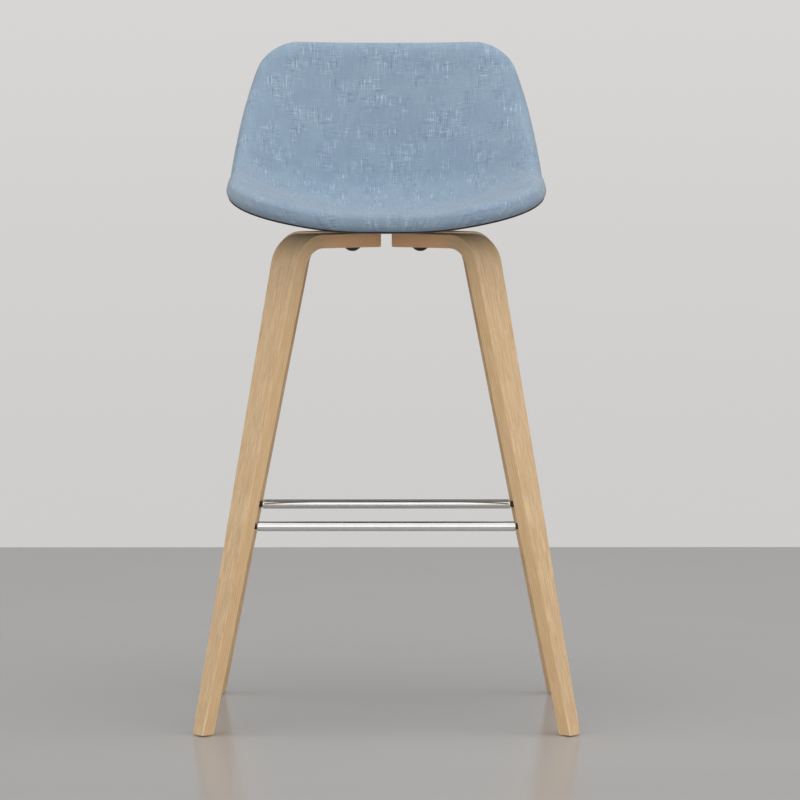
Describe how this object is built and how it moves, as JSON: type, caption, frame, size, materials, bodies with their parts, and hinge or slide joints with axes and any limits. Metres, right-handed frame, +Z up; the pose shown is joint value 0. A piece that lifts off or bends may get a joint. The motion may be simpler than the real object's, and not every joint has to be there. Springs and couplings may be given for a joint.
{
  "type": "bar stool",
  "caption": "Counter-height bar stool with a low-backed upholstered shell, bent plywood legs and two chrome footrest bars.",
  "frame": {"origin": "on the floor, under the middle of the base", "axes": "+Z up, the sitter faces -Y, +X to the right of someone who stands in front of the stool"},
  "size_m": [0.5064, 0.43, 0.9086],
  "materials": {
    "blue_fabric": "slub weave",
    "foam": "open-cell foam",
    "shell_plywood": "raw moulded plywood",
    "leg_wood": "oak veneer, satin lacquer",
    "chrome": "polished",
    "dark_bolts": "dark bronze, satin",
    "zinc": "zinc plated",
    "black_rubber": "matt",
    "natural_nylon": "matt, undyed"
  },
  "bodies": {
    "root": {"seat_plywood_shell": "shell_plywood", "seat_foam": "foam", "seat_front_cover": "blue_fabric", "seat_rear_cover": "blue_fabric", "footrest_bar_front": "chrome", "footrest_bar_rear": "chrome", "leg_front_left": "leg_wood", "leg_front_right": "leg_wood", "leg_rear_left": "leg_wood", "leg_rear_right": "leg_wood", "leg_bolts_front_left": "dark_bolts", "leg_bolts_front_right": "dark_bolts", "leg_bolts_rear_left": "dark_bolts", "leg_bolts_rear_right": "dark_bolts", "leg_washers_front_left": "dark_bolts", "leg_washers_front_right": "dark_bolts", "leg_washers_rear_left": "dark_bolts", "leg_washers_rear_right": "dark_bolts", "leg_tnuts_front_left": "zinc", "leg_tnuts_front_right": "zinc", "leg_tnuts_rear_left": "zinc", "leg_tnuts_rear_right": "zinc", "footrest_spacer_front_left": "black_rubber", "footrest_spacer_front_right": "black_rubber", "footrest_spacer_rear_left": "black_rubber", "footrest_spacer_rear_right": "black_rubber", "footrest_stud_front_left": "zinc", "footrest_stud_front_right": "zinc", "footrest_stud_rear_left": "zinc", "footrest_stud_rear_right": "zinc", "foot_glide_front_left": "natural_nylon", "foot_glide_front_right": "natural_nylon", "foot_glide_rear_left": "natural_nylon", "foot_glide_rear_right": "natural_nylon", "glide_nail_front_left": "zinc", "glide_nail_front_right": "zinc", "glide_nail_rear_left": "zinc", "glide_nail_rear_right": "zinc"}
  },
  "joints": []
}
